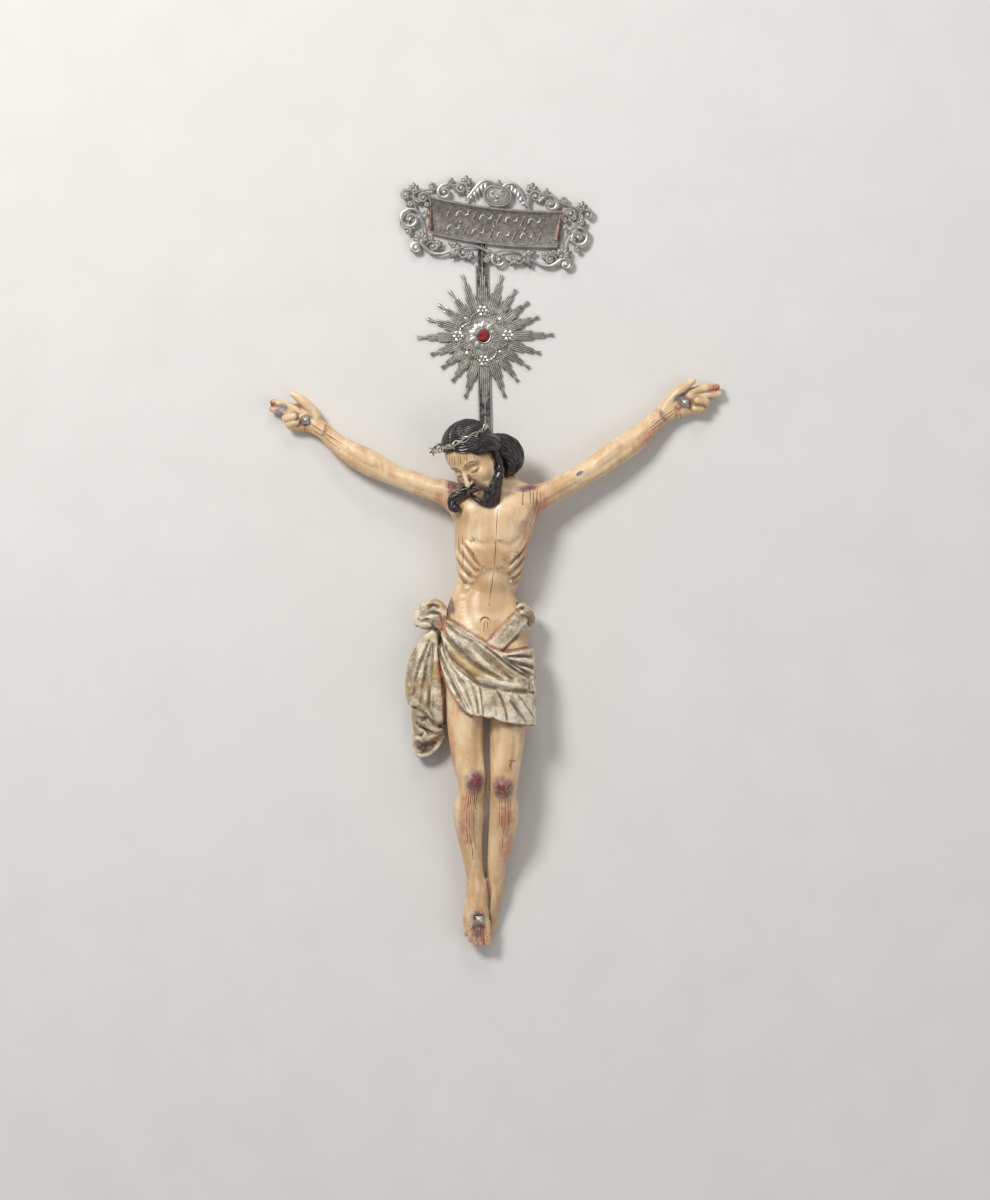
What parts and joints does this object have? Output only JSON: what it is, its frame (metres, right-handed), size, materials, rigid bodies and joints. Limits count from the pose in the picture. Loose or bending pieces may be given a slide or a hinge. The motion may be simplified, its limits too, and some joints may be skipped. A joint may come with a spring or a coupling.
{
  "type": "crucifix corpus figure",
  "caption": "Carved and painted wooden corpus lying on its back, with twisted wire crown, nails, sunburst halo on a stem and pierced title plate.",
  "frame": {"origin": "on the surface the figure lies on, under the middle of the part's footprint", "axes": "+Y from the feet to the head, +X to the figure's left, +Z from the back to the face"},
  "size_m": [0.2732, 0.464, 0.0515],
  "materials": {
    "painted_wood": "painted gesso on carved wood, satin, worn and speckled",
    "crown_wire": "tarnished drawn wire",
    "tarnished_silver": "cast and chased silver, tarnished in the hollows",
    "ruby_glass": "faceted red glass",
    "nail_silver": "worn silver"
  },
  "bodies": {
    "root": {"corpus": "painted_wood", "crown_of_thorns": "crown_wire", "halo": "tarnished_silver", "halo_stone": "ruby_glass", "title_plate": "tarnished_silver", "nail_right_hand": "nail_silver", "nail_left_hand": "nail_silver", "nail_feet": "nail_silver"}
  },
  "joints": []
}
